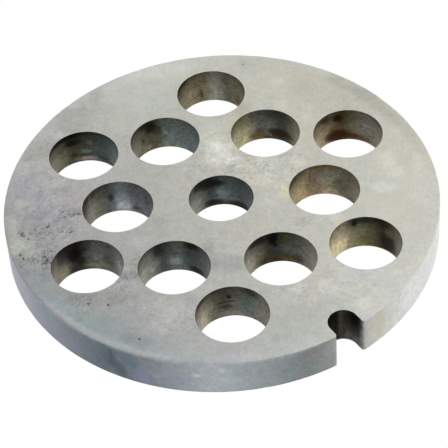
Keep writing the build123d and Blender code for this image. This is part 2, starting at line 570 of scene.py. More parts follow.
# x, y, half sizes, turn; lighter, warmer, greener
STAINS = [
    (0.4, 9.2, 2.1, 2.2, 0, 21, 0, 0),  # burnished behind the middle bore
    (-0.9, 13.2, 1.6, 3.2, 0, 9, -1, 3),
    (3.2, 7.0, 1.6, 1.0, -35, 9, 3, 1),
    (0.6, -13.0, 3.0, 1.5, 0, -13, -5, -1),  # a bruise in front of it
    (-2.2, -10.6, 1.1, 2.2, 10, -12, 0, 0),
    (-8.3, -21.6, 3.4, 3.0, 0, 9, 2, 0),
    (-3.0, -17.6, 2.0, 0.9, 0, 8, 4, 1),
    (-12.4, -26.0, 2.6, 1.1, -25, -8, -3, -1),
    (-19.8, -17.8, 2.8, 1.2, 0, -8, -1, -3),
    (-15.2, -18.4, 1.2, 1.0, 0, -8, 0, -3),
    (-13.6, -13.9, 1.2, 0.9, 0, -13, 0, -1),
    (-12.4, -11.4, 0.7, 1.5, 0, -10, 0, 0),
    (-12.0, -7.7, 1.3, 1.2, 0, 8, 0, 1),
    (-28.4, -7.2, 1.8, 1.8, 0, 14, 5, 5),  # pale, worn left shoulder
    (-29.6, -3.6, 1.0, 3.2, 8, 14, 4, 2),
    (-28.6, 1.6, 1.0, 0.9, 0, 12, 3, 4),
    (-28.6, 8.9, 1.3, 1.2, 0, 6, 0, 0),
    (-28.0, 4.9, 2.4, 2.0, 0, 0, -4, -3),
    (-23.2, 0.0, 4.6, 5.5, 0, 0, -4, -3),
    (-20.8, -0.9, 0.9, 0.8, 0, -15, 0, 0),  # dark crusts among the pits
    (-22.6, -1.9, 1.7, 0.7, 35, -9, 0, 0),
    (-24.6, -4.0, 1.8, 0.9, 50, -9, 0, 0),
    (-24.6, -10.0, 0.9, 1.2, 0, -14, 0, 0),
    (-24.9, -12.7, 0.8, 1.3, 0, -10, -5, 2),
    (-23.1, 5.2, 1.2, 1.1, 0, 7, 0, 0),
    (-25.6, 12.4, 2.6, 1.6, 50, -10, 0, 0),
    (-21.8, 19.9, 3.0, 1.1, 5, -9, 0, 0),
    (-21.6, 17.4, 3.0, 1.2, 0, -6, 0, 0),
    (-17.8, 23.4, 0.9, 1.8, 0, -9, 0, 0),
    (-8.5, 28.0, 4.6, 1.5, 12, 8, 0, 1),
    (-9.4, 22.4, 3.2, 2.8, 0, 2, -4, 0),
    (-4.6, 29.4, 1.9, 0.8, 0, 2, -7, -3),
    (-13.6, 13.2, 0.9, 2.2, 0, -6, -3, 0),
    (-9.2, -3.8, 0.9, 1.1, 0, -7, -2, 0),
    (-10.0, 6.0, 3.4, 3.0, 0, -4, 0, 0),
    (4.1, 18.6, 1.0, 1.3, 0, -13, 4, 1),
    (2.3, 16.2, 1.3, 1.2, 0, 2, 7, 3),
    (4.7, 28.8, 0.8, 0.8, 0, -8, 0, 0),
    (9.7, 24.2, 0.9, 0.9, 0, 7, 0, -1),
    (18.0, 19.0, 7.0, 4.5, -40, -5, 0, 0),
    (-2.0, 20.0, 8.0, 6.0, 0, -3, 0, 0),
    (8.0, 4.5, 3.2, 3.2, 0, 6, 0, 0),
    (9.0, -25.0, 7.0, 3.0, 15, -3, 0, 1),
    (9.8, 18.8, 1.0, 1.0, 0, 7, 0, 0),
    (13.3, 16.8, 0.9, 1.8, -15, 8, 0, 0),
    (14.2, 24.4, 3.0, 1.8, -30, -2, 6, 1),
    (13.1, 11.6, 0.9, 2.0, 0, -4, 6, 1),
    (11.3, 6.4, 0.8, 1.5, 18, 8, 2, 0),
    (7.4, 6.5, 1.3, 1.0, 0, -5, -2, 0),
    (9.0, 0.8, 0.9, 1.8, 0, 4, 12, 6),  # a thin yellow film right of the middle
    (6.0, 3.6, 1.8, 1.6, -20, 5, 4, 2),
    (24.2, 5.6, 1.4, 1.9, 0, 10, 0, 0),  # bright wear at the right
    (25.3, 2.7, 1.1, 1.0, 0, 12, 0, 0),
    (23.1, 0.0, 1.6, 0.9, -15, 13, -2, 0),
    (28.4, 3.8, 1.0, 2.2, 0, 7, 2, 0),
    (15.8, -5.3, 1.1, 0.8, 0, 10, 2, 0),
    (16.4, -6.5, 1.0, 0.7, -20, 0, 9, 2),
    (11.2, -5.9, 1.1, 1.0, 0, -11, 0, 0),
    (9.5, -18.2, 1.1, 0.8, 20, 13, 1, 0),
    (13.4, -18.4, 1.4, 1.4, 0, 6, 3, 0),
    (5.2, -18.8, 1.0, 1.0, 0, -8, -2, -1),
    (18.3, -22.2, 1.1, 1.3, 0, 8, 2, 0),
    (18.2, -16.4, 2.2, 0.8, 0, -1, -6, -1),
    (6.0, -27.6, 0.7, 1.3, 0, -6, -1, 1),
    (-16.0, -22.0, 3.0, 2.0, -40, 0, -3, -2),
    (-26.5, 0.0, 8.0, 18.0, 0, 0, 3, 0),
    (-18.0, -18.0, 4.0, 3.0, 0, 2, 4, 1),
    (11.0, -24.0, 6.0, 3.0, 15, -4, 0, 0),
    (25.5, -10.0, 3.0, 5.0, -20, -4, 0, 0),
    (5.5, 28.5, 4.0, 2.0, 0, -4, 0, 0),
    (-19.0, 18.5, 4.0, 4.0, 0, -6, 0, 0),
    (7.5, 0.0, 2.0, 2.5, 0, 5, 0, 0),
    (6.3, 6.0, 1.8, 1.8, 0, 5, 0, 0),
]
for cx, cy, a, b, turn, dt, dw, dg in STAINS:
    m = patch(cx, cy, a, b, turn)
    tone, warm, green = tone + dt * m, warm + dw * m, green + dg * m
# along the rim: a blue temper film at the front left, a dull band at the back right, and thin pale bands hard by the
# front-left edge, which are a painted highlight
for ca, wa, cr_, wr, dt, dw, dg in [
    (-142, 12, 29.2, 1.1, 4, -7, 3),
    (-126, 12, 28.4, 2.0, -2, -3, 5),
    (-106, 12, 29.6, 1.2, 3, -4, 0),
    # painted highlight: pale bands along the front-left edge
    (-124, 20, 30.45, 0.5, 13, 0, 0),
    (-88, 8, 30.0, 0.7, 6, -3, -2),
    (-142, 9, 30.4, 0.5, 9, -3, 0),
    (40, 13, 29.8, 1.3, -13, 1, 0),
    (22, 8, 29.9, 1.0, -8, 2, 0),
]:
    m = crescent(ca, wa, cr_, wr)
    tone, warm, green = tone + dt * m, warm + dw * m, green + dg * m
face_look = np.column_stack([tone + warm / 2 - green / 3, tone + 2 * green / 3, tone - warm / 2 - green / 3])
face_light = (0.978 + 0.0012 * px - 0.00013 * pr_**2)[:, None] * np.array([1.0, 1.002, 0.99])

# ---- the under face, in the same way
under = 158 + 16 * rag_a + 6 * noise_c.fbm(verts * 0.12, 3)
under_warm = 5 + 8 * noise_b.fbm(verts * 0.10 + 9, 3)
under_look = np.column_stack([under + under_warm / 2, under + 1.5, under - under_warm / 2])
for cx, cy, a, b, turn, dt in [
    (12, -16, 6, 3, 30, -20), (-18, 4, 4, 7, 10, -14), (3, 21, 8, 2.5, -15, 12), (-8, -22, 5, 3, 0, -12), (22, 8, 4, 6, 20, 10),
]:
    under_look += (dt * patch(cx, cy, a, b, turn, 0.9))[:, None] * np.array([1.0, 0.98, 0.9])

on_top = (zone == 0) | ((edge < 0) & (depth < 0.5))
on_under = (zone == 1) | ((edge < 0) & (depth > 0.5))
look, light = face_look.copy(), face_light.copy()
look[on_under], light[on_under] = under_look[on_under], 0.8

# ---- the rim: white at the right, which is partly a brighter ground band and partly painted light from the right; blue-grey with a dark bruise at the front left
RIM = [
    (-176, "steel", 1.14), (-154, "mist", 1.04), (-138, "mist", 0.86), (-124, "slate", 1.30), (-112, "pearl", 0.93), (-95, "steel", 1.02),
    # the white stops at the right are partly painted light
    (-70, "grey", 0.99), (-53, "ash", 0.985), (-40, "white", 0.90), (-14, "white", 0.99), (10, "steel", 1.18),
    (95, "steel", 1.04), (150, "steel", 1.0),
]
RIM_MARKS = [
    (-122.0, 2.4, 0.45, 0.28, "lilac", 1.06, 0.6),  # the bruise
    (-119.0, 1.8, 0.74, 0.24, "slate", 1.06, 0.65), (-121.5, 0.6, 0.40, 0.30, "slate", 0.95, 0.5),
    (-116.5, 2.0, 0.30, 0.30, "slate", 1.30, 0.5),
    (-112.6, 2.4, 0.74, 0.20, "lilac", 1.5, 0.6),
    (-109.0, 1.8, 0.62, 0.10, "pearl", 1.04, 0.6),
    (-102.8, 2.0, 0.68, 0.14, "lilac", 1.75, 0.5),
    (-99.0, 0.9, 0.43, 0.05, "steel", 1.14, 0.7),
    (-92.6, 1.1, 0.27, 0.07, "steel", 1.12, 0.7),
    (-91.0, 2.6, 0.66, 0.18, "steel", 1.06, 0.5),
    (-84.5, 1.4, 0.30, 0.16, "pearl", 1.08, 0.4),
    (-76.0, 2.2, 0.60, 0.20, "teal", 1.36, 0.4),
    (-70.5, 3.0, 0.14, 0.10, "rose", 1.10, 0.35),
    (-142.0, 3.0, 0.25, 0.20, "teal", 1.48, 0.5),
    (-134.0, 2.0, 0.62, 0.20, "lilac", 1.52, 0.5),
    (-49.0, 1.8, 0.40, 0.45, "olive", 2.05, 0.22), (-45.5, 1.1, 0.55, 0.45, "stone", 1.55, 0.15),
]
rim_look = blend_round(angle + 1.5 * rag_a, [(a, tint(n, k)) for a, n, k in RIM], 1.2)
for ca, wa, ch, wh, n, k, s in RIM_MARKS:
    rim_look = lay(rim_look, s * smear(ca, wa, ch, wh), tint(n, k))
far_side = smooth01((angle - 2) / 12) * smooth01((178 - angle) / 10)
rim_look += (far_side * 20 * noise_c.fbm(verts * [0.18, 0.18, 0.2] + 3, 3))[:, None]
foot = smooth01((depth - 0.92) / 0.06) * (0.5 + 0.5 * rag_b)
rim_look *= 1 - 0.10 * foot[:, None]
# the rim's top is pale from the left round to the front: partly wear, partly a painted highlight along the rounded edge
worn_and_highlit = np.where(angle < 0, smooth01((angle + 180) / 20) * smooth01((-62 - angle) / 10), 0.0)
worn_and_highlit = worn_and_highlit * smooth01(1 - (depth * T - 0.05) / (0.55 + 0.25 * rag_b))
rim_look = lay(rim_look, 0.75 * worn_and_highlit, np.column_stack([0.5 * tone + 80, 0.5 * tone + 84, 0.5 * tone + 86]))
RIM_LIGHT = [
    (-178, (0.87, 0.90, 0.95)), (-162, (0.86, 0.89, 0.93)), (-154, (0.75, 0.78, 0.82)), (-146, (0.67, 0.70, 0.75)),
    (-138, (0.60, 0.62, 0.67)), (-130, (0.55, 0.58, 0.62)), (-122, (0.53, 0.56, 0.60)), (-114, (0.55, 0.58, 0.61)),
    (-106, (0.59, 0.61, 0.64)), (-98, (0.63, 0.65, 0.67)), (-90, (0.68, 0.69, 0.71)), (-74, (0.70, 0.70, 0.71)),
    (-66, (0.73, 0.73, 0.73)), (-50, (0.90, 0.90, 0.86)), (-42, (1.01, 0.99, 0.95)), (-34, (1.11, 1.09, 1.03)),
    (-26, (1.22, 1.21, 1.15)), (-18, (1.33, 1.31, 1.26)), (-8, (1.42, 1.41, 1.36)), (6, (1.0, 1.0, 0.97)),
    (20, (0.80, 0.80, 0.80)), (160, (0.80, 0.82, 0.85)),
]
rim_light = blend_round(angle, RIM_LIGHT)
m = (zone == 2) & (edge >= 0)
look[m], light[m] = rim_look[m], rim_light[m]

# ---- the bores: a few tints round each wall, then its marks
BORES = [
    (  # the middle
        [(15, "slate", 1.15), (52, "slate", 0.86), (88, "teal", 0.84), (110, "slate", 0.66), (132, "pewter", 0.98), (158, "pewter", 1.15)],
        [
            (105, 20, 0.26, 0.11, "ink", 0.8, 0.85), (135, 12, 0.16, 0.10, "umber", 0.7, 0.7), (105, 16, 0.87, 0.10, "ink", 0.9, 0.8),
            (84, 26, 0.94, 0.06, "umber", 0.75, 0.7), (50, 18, 0.90, 0.12, "ink", 0.9, 0.75), (88, 13, 0.55, 0.14, "teal", 1.05, 0.6),
            (80, 28, 0.76, 0.05, "pewter", 0.92, 0.5), (122, 22, 0.10, 0.10, "ink", 0.75, 0.7),
        ],
    ),
    (  # inner ring, from the right and round the back
        [(12, "stone", 0.98), (45, "stone", 0.78), (82, "stone", 0.98), (100, "tan", 0.78), (125, "tan", 1.02), (155, "straw", 0.88)],
        [
            (150, 12, 0.12, 0.10, "umber", 1.25, 0.7), (128, 12, 0.10, 0.14, "tan", 0.75, 0.5), (85, 26, 0.06, 0.07, "amber", 0.9, 0.55),
            (80, 16, 0.30, 0.16, "pewter", 1.06, 0.5), (107, 10, 0.60, 0.25, "tan", 0.66, 0.5), (90, 11, 0.68, 0.12, "tan", 0.86, 0.55),
            (78, 14, 0.90, 0.09, "tan", 1.05, 0.7), (60, 12, 0.62, 0.20, "olive", 0.92, 0.6),
        ],
    ),
    (
        [(12, "stone", 0.98), (32, "olive", 1.16), (56, "ink", 1.8), (80, "pewter", 0.68), (101, "pewter", 0.70), (122, "straw", 0.80), (150, "straw", 0.92)],
        [
            (84, 14, 0.52, 0.10, "rose", 0.80, 0.5), (60, 20, 0.77, 0.15, "umber", 0.60, 0.85), (80, 12, 0.92, 0.07, "umber", 0.75, 0.65),
            (100, 15, 0.84, 0.13, "amber", 0.74, 0.65), (98, 9, 0.70, 0.08, "umber", 0.9, 0.6), (70, 20, 0.14, 0.10, "olive", 0.66, 0.65),
            (127, 11, 0.88, 0.12, "straw", 1.0, 0.5), (80, 2.6, 0.89, 0.025, "tan", 1.1, 0.8),
        ],
    ),
    (
        [(20, "slate", 1.10), (46, "slate", 1.14), (66, "teal", 0.93), (88, "teal", 0.95), (105, "olive", 0.80), (120, "olive", 0.84), (152, "stone", 0.87)],
        [
            (115, 9, 0.20, 0.16, "ink", 0.75, 0.8), (124, 14, 0.10, 0.10, "umber", 0.62, 0.75), (104, 7, 0.40, 0.12, "ink", 1.45, 0.6),
            (133, 3.2, 0.54, 0.07, "ink", 1.1, 0.75), (89, 3, 0.50, 0.05, "teal", 1.25, 0.7), (89, 2.6, 0.60, 0.03, "slate", 0.65, 0.75),
            (75, 22, 0.90, 0.08, "straw", 0.74, 0.6), (124, 10, 0.87, 0.10, "stone", 0.98, 0.5),
        ],
    ),
    (
        [(15, "slate", 1.06), (50, "lilac", 0.98), (68, "lilac", 0.97), (84, "pearl", 0.81), (102, "slate", 0.95), (120, "olive", 1.03), (145, "stone", 0.97), (170, "umber", 1.0)],
        [
            (104, 4.5, 0.50, 0.11, "ink", 1.5, 0.8), (82, 13, 0.80, 0.15, "pearl", 1.0, 0.6), (60, 9, 0.83, 0.06, "lilac", 0.62, 0.7),
            (162, 14, 0.12, 0.11, "rust", 0.66, 0.75), (137, 5, 0.15, 0.06, "umber", 0.85, 0.6), (38, 4, 0.48, 0.26, "slate", 0.84, 0.5),
        ],
    ),
    (
        [(16, "pewter", 0.92), (36, "slate", 0.97), (64, "slate", 0.83), (87, "teal", 0.94), (110, "slate", 0.74), (128, "pewter", 0.97), (150, "stone", 1.06)],
        [
            (90, 10, 0.70, 0.10, "pearl", 0.86, 0.6), (60, 12, 0.12, 0.10, "umber", 0.62, 0.75), (115, 8, 0.20, 0.15, "ink", 1.5, 0.6),
            (88, 5, 0.42, 0.035, "rust", 0.78, 0.55), (52, 13, 0.88, 0.09, "rust", 0.56, 0.85), (76, 9, 0.93, 0.05, "rose", 0.8, 0.5),
        ],
    ),
    (
        [(12, "stone", 1.0), (32, "stone", 0.92), (56, "pewter", 0.72), (78, "olive", 0.80), (96, "ink", 1.4), (115, "olive", 0.76), (140, "stone", 0.95), (164, "pewter", 1.2)],
        [
            (100, 7, 0.16, 0.18, "ink", 0.18, 0.95), (97, 3.4, 0.40, 0.07, "ink", 0.35, 0.9), (126, 18, 0.12, 0.12, "ink", 1.15, 0.8),
            (80, 18, 0.56, 0.10, "lilac", 0.84, 0.5), (96, 18, 0.86, 0.07, "rust", 0.78, 0.8), (72, 17, 0.84, 0.08, "amber", 0.72, 0.85), (58, 10, 0.80, 0.12, "olive", 0.66, 0.6),
            (118, 8, 0.88, 0.08, "rust", 0.66, 0.6),
        ],
    ),
    (  # outer ring
        [(8, "stone", 0.93), (46, "pewter", 0.90), (70, "stone", 0.75), (88, "olive", 0.86), (100, "umber", 1.02), (116, "tan", 0.68), (134, "tan", 0.88), (155, "tan", 1.0)],
        [
            (103, 9, 0.24, 0.13, "umber", 0.52, 0.85), (128, 14, 0.14, 0.10, "rust", 0.92, 0.75), (104, 20, 0.80, 0.16, "rust", 0.60, 0.85),
            (82, 14, 0.86, 0.10, "rust", 0.70, 0.7), (60, 17, 0.88, 0.07, "rust", 0.92, 0.6), (52, 7, 0.42, 0.10, "pearl", 0.85, 0.45),
            (28, 16, 0.09, 0.07, "pewter", 0.68, 0.5),
        ],
    ),
    (
        [(12, "tan", 0.68), (38, "olive", 1.17), (62, "pewter", 0.75), (82, "pewter", 1.02), (100, "olive", 1.06), (116, "tan", 0.72), (130, "tan", 0.83), (158, "tan", 0.70)],
        [
            (148, 16, 0.07, 0.07, "ink", 0.6, 0.85), (107, 4, 0.75, 0.15, "umber", 0.95, 0.8), (85, 16, 0.86, 0.07, "tan", 0.88, 0.6),
            (60, 10, 0.75, 0.10, "olive", 0.84, 0.5), (36, 7, 0.75, 0.15, "amber", 0.66, 0.5), (160, 8, 0.15, 0.09, "umber", 0.6, 0.6),
        ],
    ),
    (
        [(20, "slate", 1.10), (55, "teal", 0.66), (76, "teal", 0.64), (96, "olive", 0.62), (113, "olive", 0.66), (132, "olive", 0.96), (156, "stone", 0.81)],
        [
            (130, 34, 0.07, 0.08, "ink", 0.65, 0.85), (85, 24, 0.07, 0.06, "olive", 0.46, 0.6), (118, 8, 0.26, 0.14, "umber", 0.55, 0.6),
            (82, 5, 0.38, 0.09, "pewter", 0.80, 0.55), (91, 10, 0.66, 0.06, "teal", 0.98, 0.5), (112, 13, 0.30, 0.09, "ink", 0.8, 0.7), (110, 7, 0.72, 0.04, "umber", 0.5, 0.6), (89, 19, 0.90, 0.06, "rose", 1.0, 0.75),
            (60, 10, 0.84, 0.06, "umber", 0.82, 0.65),
        ],
    ),
    (
        [(18, "pewter", 0.90), (32, "pewter", 1.02), (50, "pewter", 0.72), (80, "pewter", 0.78), (107, "ink", 1.2), (121, "ink", 1.5), (138, "pewter", 0.78), (160, "stone", 0.92)],
        [
            (115, 11, 0.38, 0.24, "ink", 0.34, 0.95), (136, 12, 0.30, 0.16, "ink", 1.0, 0.5), (104, 7, 0.66, 0.13, "ink", 0.8, 0.8), (122, 24, 0.10, 0.10, "umber", 0.45, 0.75), (97, 4, 0.30, 0.07, "ink", 0.7, 0.6),
            (30, 8, 0.50, 0.12, "pearl", 0.92, 0.6), (133, 5, 0.85, 0.07, "straw", 0.72, 0.7), (80, 20, 0.86, 0.07, "straw", 0.70, 0.55),
            (58, 10, 0.62, 0.16, "pewter", 0.52, 0.5), (137, 13, 0.80, 0.20, "tan", 0.88, 0.75),
        ],
    ),
    (
        [(14, "pewter", 0.90), (42, "stone", 0.84), (70, "teal", 0.88), (85, "stone", 0.72), (102, "pewter", 0.64), (117, "olive", 1.0), (140, "stone", 1.07), (166, "rose", 1.0)],
        [
            (66, 11, 0.40, 0.20, "moss", 1.05, 0.5), (60, 16, 0.12, 0.12, "ink", 1.5, 0.5), (94, 2.6, 0.34, 0.05, "ink", 0.95, 0.85),
            (100, 13, 0.50, 0.035, "ink", 1.2, 0.6), (101, 14, 0.60, 0.025, "ink", 1.3, 0.5), (97, 7, 0.68, 0.05, "ink", 1.45, 0.6), (85, 28, 0.90, 0.06, "rose", 1.0, 0.6),
            (146, 16, 0.09, 0.07, "umber", 0.98, 0.6),
        ],
    ),
    (
        [(9, "stone", 0.92), (30, "olive", 1.0), (55, "umber", 0.75), (74, "olive", 0.80), (97, "olive", 1.16), (112, "tan", 0.76), (122, "bone", 0.80), (140, "bone", 0.95), (170, "tan", 1.15)],
        [
            (103, 4.2, 0.18, 0.08, "ink", 0.4, 0.95), (80, 28, 0.10, 0.11, "ink", 1.1, 0.75), (46, 15, 0.72, 0.26, "ink", 0.95, 0.85),
            (54, 9, 0.15, 0.11, "umber", 0.62, 0.6), (86, 13, 0.76, 0.14, "amber", 0.86, 0.5), (125, 9, 0.76, 0.12, "tan", 1.2, 0.45),
            (45, 8, 0.36, 0.12, "pewter", 0.86, 0.45),
        ],
    ),
]
BORE_LIGHT = [  # by angle, near the top, half way down and near the bottom
    (15, (0.44, 0.66, 0.70)), (30, (0.44, 0.58, 0.65)), (45, (0.45, 0.52, 0.55)), (60, (0.47, 0.51, 0.53)),
    (75, (0.53, 0.565, 0.59)), (90, (0.58, 0.62, 0.65)), (105, (0.58, 0.63, 0.66)), (120, (0.60, 0.67, 0.72)),
    (135, (0.66, 0.80, 0.87)), (150, (0.66, 0.92, 1.0)), (165, (0.66, 1.0, 1.02)), (185, (0.60, 0.70, 0.75)), (355, (0.50, 0.60, 0.70)),
]
def down_wall(table, at):
    t = blend_round(angle, table)
    i = np.clip(np.searchsorted(at, depth) - 1, 0, len(at) - 2)
    f = np.clip((depth - np.array(at)[i]) / np.diff(at)[i], 0, 1)
    r_ = np.arange(len(depth))
    return t[r_, i] * (1 - f) + t[r_, i + 1] * f


right_half = smooth01((100 - angle) / 70)[:, None]
bore_light = down_wall(BORE_LIGHT, (0.12, 0.5, 0.88))[:, None]
bore_light = bore_light * (1 + right_half * np.array([-0.03, 0.0, 0.07]) + (1 - right_half) * np.array([0.005, 0.0, -0.02]))
# painted shade under the top edge, with old grime there, darkest at the back left; lower down the wall is lighter
far_left = smooth01((angle - 92) / 45) * (angle < 200)
grime_and_shade = 1 - (0.16 + 0.28 * far_left) * np.exp(-depth / 0.24)
grime_and_shade += (0.04 + 0.09 * smooth01((angle - 50) / 40)) * smooth01((depth - 0.28) / 0.3)
NEAR = [(215, tint("pewter", 0.86)), (262, tint("olive", 1.05)), (310, tint("stone", 0.84))]
# how much of its tints' colour each bore keeps, how much warmer it is than they are, its contrast and its level
KEEP = [
    (0.7, 6, 1.12, 0.98), (1.1, 5, 1.12, 0.97), (1.0, 2, 1.2, 1.07), (0.6, 6, 1.15, 1.02), (0.5, 2, 1.38, 1.0), (0.5, 5, 1.38, 1.0),
    (0.8, 1, 1.25, 1.01), (0.95, 6, 1.25, 1.02), (0.7, 3, 1.1, 1.03), (0.6, 4, 1.32, 1.08), (1.0, 5, 1.15, 1.03), (0.7, 1, 1.5, 1.04),
    (0.95, 2, 1.12, 1.05),
]
for i, (turn_stops, marks_) in enumerate(BORES):
    wander = angle + 7 * rag_a + 5 * rag_b
    c = blend_round(wander, [(a, tint(n, k)) for a, n, k in turn_stops] + NEAR, 4.5)
    for ca, wa, ch, wh, n, k, s in marks_:
        c = lay(c, s * smear(ca, wa, ch, wh), tint(n, k))
    rh = np.random.default_rng(40 + i)
    for q in range(9):  # the near half of the wall, marked the same way
        m = smear(rh.uniform(195, 345), rh.uniform(5, 16), rh.uniform(0.05, 0.95), rh.uniform(0.06, 0.2))
        n = ["ink", "umber", "slate", "amber", "tan", "rose", "teal", "rust", "olive"][rh.integers(9)]
        c = lay(c, rh.uniform(0.3, 0.8) * m, tint(n, rh.uniform(0.8, 1.15)))
    m = (zone == 3) & (edge >= 0) & (hole_no == i)
    c = c * grime_and_shade[:, None]
    grey_ = c.mean(1, keepdims=True)
    hue = c - grey_
    mean_hue = hue[m & (angle < 180)].mean(0)
    middle = grey_[m & (angle < 180)].mean()
    c = KEEP[i][3] * (middle + KEEP[i][2] * (grey_ - middle)) + mean_hue + KEEP[i][0] * (hue - mean_hue) + KEEP[i][1] * np.array([0.5, 0.0, -0.5])
    look[m], light[m] = c[m], bore_light[m]

# ---- the notch: the deep slot is painted near black, which is painted shade, with brown runs down the far side of its round end; its right wall is lighter lower down and towards the mouth
nx, ny = verts[:, 0], verts[:, 1]
turn_in = np.degrees(np.arctan2(ny + NOTCH_Y, nx)) + 2 * rag_b  # 0 where the right wall begins
# painted shade: the slot starts near black
c = np.tile(tint("ink", 0.22), (len(verts), 1))
round_end = smooth01((ny + NOTCH_Y + 0.3) / 0.5)
for at, w, n, k, s in [
    (64, 12, "bark", 0.82, 0.9), (44, 10, "bark", 0.92, 0.9), (31, 6, "bark", 0.80, 0.7), (57, 3.5, "rose", 0.62, 0.5),
    (38, 3.0, "stone", 0.60, 0.5), (50, 2.5, "bark", 0.62, 0.6), (70, 2.5, "pewter", 0.62, 0.4),
]:
    c = lay(c, s * np.exp(-(((turn_in - at) / w) ** 2)) * round_end, tint(n, k))
brown = np.exp(-(((turn_in - 50) / 26) ** 2)) * round_end
c = lay(c, 0.35 * smooth01((depth - 0.35) / 0.45) * brown, tint("olive", 0.72))
c = lay(c, 0.7 * smooth01((depth - 0.93 - 0.02 * rag_b) / 0.03) * brown, tint("tan", 0.80))
right_ = smooth01((nx - 0.9) / 0.7)
c = lay(c, 0.85 * right_, tint("bark", 0.50))
c = lay(c, 0.8 * right_ * smooth01((depth - 0.30) / 0.25), tint("ash", 0.27))
c = lay(c, 0.85 * right_ * smooth01((depth - 0.60) / 0.22), tint("ash", 0.44))
c = lay(c, 0.7 * np.exp(-(((turn_in - 14) / 9) ** 2) - ((depth - 0.30) / 0.14) ** 2), tint("ink", 0.3))
out_ = smooth01((-NOTCH_Y - 0.1 - ny) / 1.1) * smooth01((nx - 1.9) / 0.15)
c = lay(c, out_ * (0.45 + 0.4 * smooth01((depth - 0.05) / 0.7)), tint("ash", 0.44))
c = lay(c, 0.75 * out_ * smooth01((-30.0 - ny) / 0.6), tint("ash", 0.72))
c[(zone != 4) & (zone != 2)] = 0
# round the mouth corners it fades into the rim's own tone
m = (in_notch > 0) & (edge >= 0)
fade_ = smooth01((in_notch - 0.08) / 0.75)[:, None]
# painted highlight: a white glint on the right mouth corner, near the top
burr_highlight = np.exp(-(((in_notch - 0.3) / 0.2) ** 2) - (depth / 0.16) ** 2) * (nx > 0)
c = lay(c, 0.8 * burr_highlight, tint("white", 0.9))
rim_there = rim_look * (1 - fade_) + c * fade_
light_there = rim_light * (1 - fade_) + np.array([0.55, 0.565, 0.585]) * fade_
look[m], light[m] = rim_there[m], light_there[m]

look = np.clip(look, 3, 252) / 255
paint = np.where(look <= 0.04045, look / 12.92, ((look + 0.055) / 1.055) ** 2.4) / light
# ---- rounded edges: the steel's own colour runs from the wall into the face
flat_look = np.clip(face_look, 3, 252) / 255
flat_paint = ((flat_look + 0.055) / 1.055) ** 2.4 / face_light
m = (edge > 0.5) & (depth < 0.5) & (zone >= 2)
over = smooth01((np.abs(normal[:, 2]) - 0.15) / 0.75) * np.where(zone == 3, 0.7, 1.0)
paint[m] = (paint * (1 - over[:, None]) + flat_paint * over[:, None])[m]
paint = np.clip(paint, 0.003, 0.92)

# ---- how mottled and how speckled each place is
mottle, speck = 0.45 + 0 * px, 0.10 + 0 * px
for cx, cy, a, b, turn, dm, ds in [
    (-25, -3, 5, 8, 0, 0.55, 0.55), (-26.5, -9, 3.5, 3.5, 0, 0.3, 0.4), (-14, -14, 2.6, 2.2, 0, 0.4, 0.5),
    (-19, -18, 5, 3, 0, 0.3, 0.3), (-24, 10, 5, 7, 20, 0.3, 0.25), (2, 8, 7, 5, 0, 0.4, 0.1), (9, 5, 4, 5, 0, 0.3, 0.05),
    (-8, -21, 5, 4, 0, 0.35, 0.1), (0, -10, 6, 3, 0, 0.2, 0.1), (14, -19, 6, 3, 0, 0.2, 0.0), (24, 0, 5, 14, 0, -0.15, -0.08),
    (8, 26, 12, 4, -20, -0.12, -0.08), (-8, 24, 7, 5, 10, -0.10, -0.06),
]:
    m = patch(cx, cy, a, b, turn, 0.7)
    mottle, speck = mottle + dm * m, speck + ds * m
on_wall = edge >= 0
wall = np.where(on_wall, 1.0, 0.0)
mottle = np.where(on_wall, np.where(zone == 2, 0.4, 0.6), mottle)
speck = np.where(on_wall, np.where(zone == 3, 0.35, 0.12), np.clip(speck, 0, 1))
dirty = np.where(zone == 3, 0.8, np.where(zone == 4, 1.0, 0.25)) * wall


def store(name, cols):
    at = mesh.attributes.new(name, "FLOAT_VECTOR", "POINT")
    at.data.foreach_set("vector", np.column_stack(cols).astype(np.float32).ravel())


# clusters of ragged scars and crust, more of them at the left
crust = 0.04 + 0 * px
for cx, cy, a, b, turn, s in [
    (-21.1, -0.8, 1.5, 0.9, 0, 1.0), (-22.8, -2.0, 1.1, 0.8, 20, 0.8), (-25.2, -3.9, 2.2, 1.4, 0, 1.0), (-22.6, -4.9, 1.5, 1.1, 30, 0.9),
    (-28.2, -4.6, 1.8, 1.1, 0, 0.75), (-27.6, -9.5, 2.0, 0.9, -20, 0.95), (-24.8, -9.9, 1.4, 1.5, 0, 1.0), (-25.4, -7.4, 1.4, 1.0, 0, 0.45),
    (-26.6, -11.8, 1.7, 1.0, 0, 0.5), (-19.4, -18.3, 1.9, 1.2, 45, 0.62), (-14.2, -15.6, 1.5, 2.1, 0, 0.85), (-12.5, -11.4, 0.9, 1.6, 0, 0.75),
    (-26.0, 8.0, 3.0, 3.5, 0, 0.15), (-24.0, 12.0, 1.7, 1.1, 0, 0.3), (4.4, 6.8, 3.4, 2.0, 0, 0.35), (3.6, 14.2, 1.6, 2.8, 0, 0.3),
    (8.0, -18.4, 2.6, 1.1, 0, 0.3), (-13.6, 12.2, 0.9, 1.8, 0, 0.3), (11.3, -5.6, 1.4, 1.2, 0, 0.35), (20.0, 3.0, 3.5, 3.0, 0, 0.12),
    (-8.0, -22.0, 4.0, 3.0, 0, 0.2), (16.0, -19.0, 3.0, 2.0, 0, 0.15),
]:
    m = patch(cx, cy, a, b, turn, 0.8)
    crust = crust + s * m * (1 - crust)
crust = np.where(on_wall, 0.0, crust)
store("crust", [crust, crust, crust])
store("paint", [paint[:, 0], paint[:, 1], paint[:, 2]])
store("state", [mottle, speck, wall])
store("wear", [pit, dirty, np.clip(edge, 0, 1)])

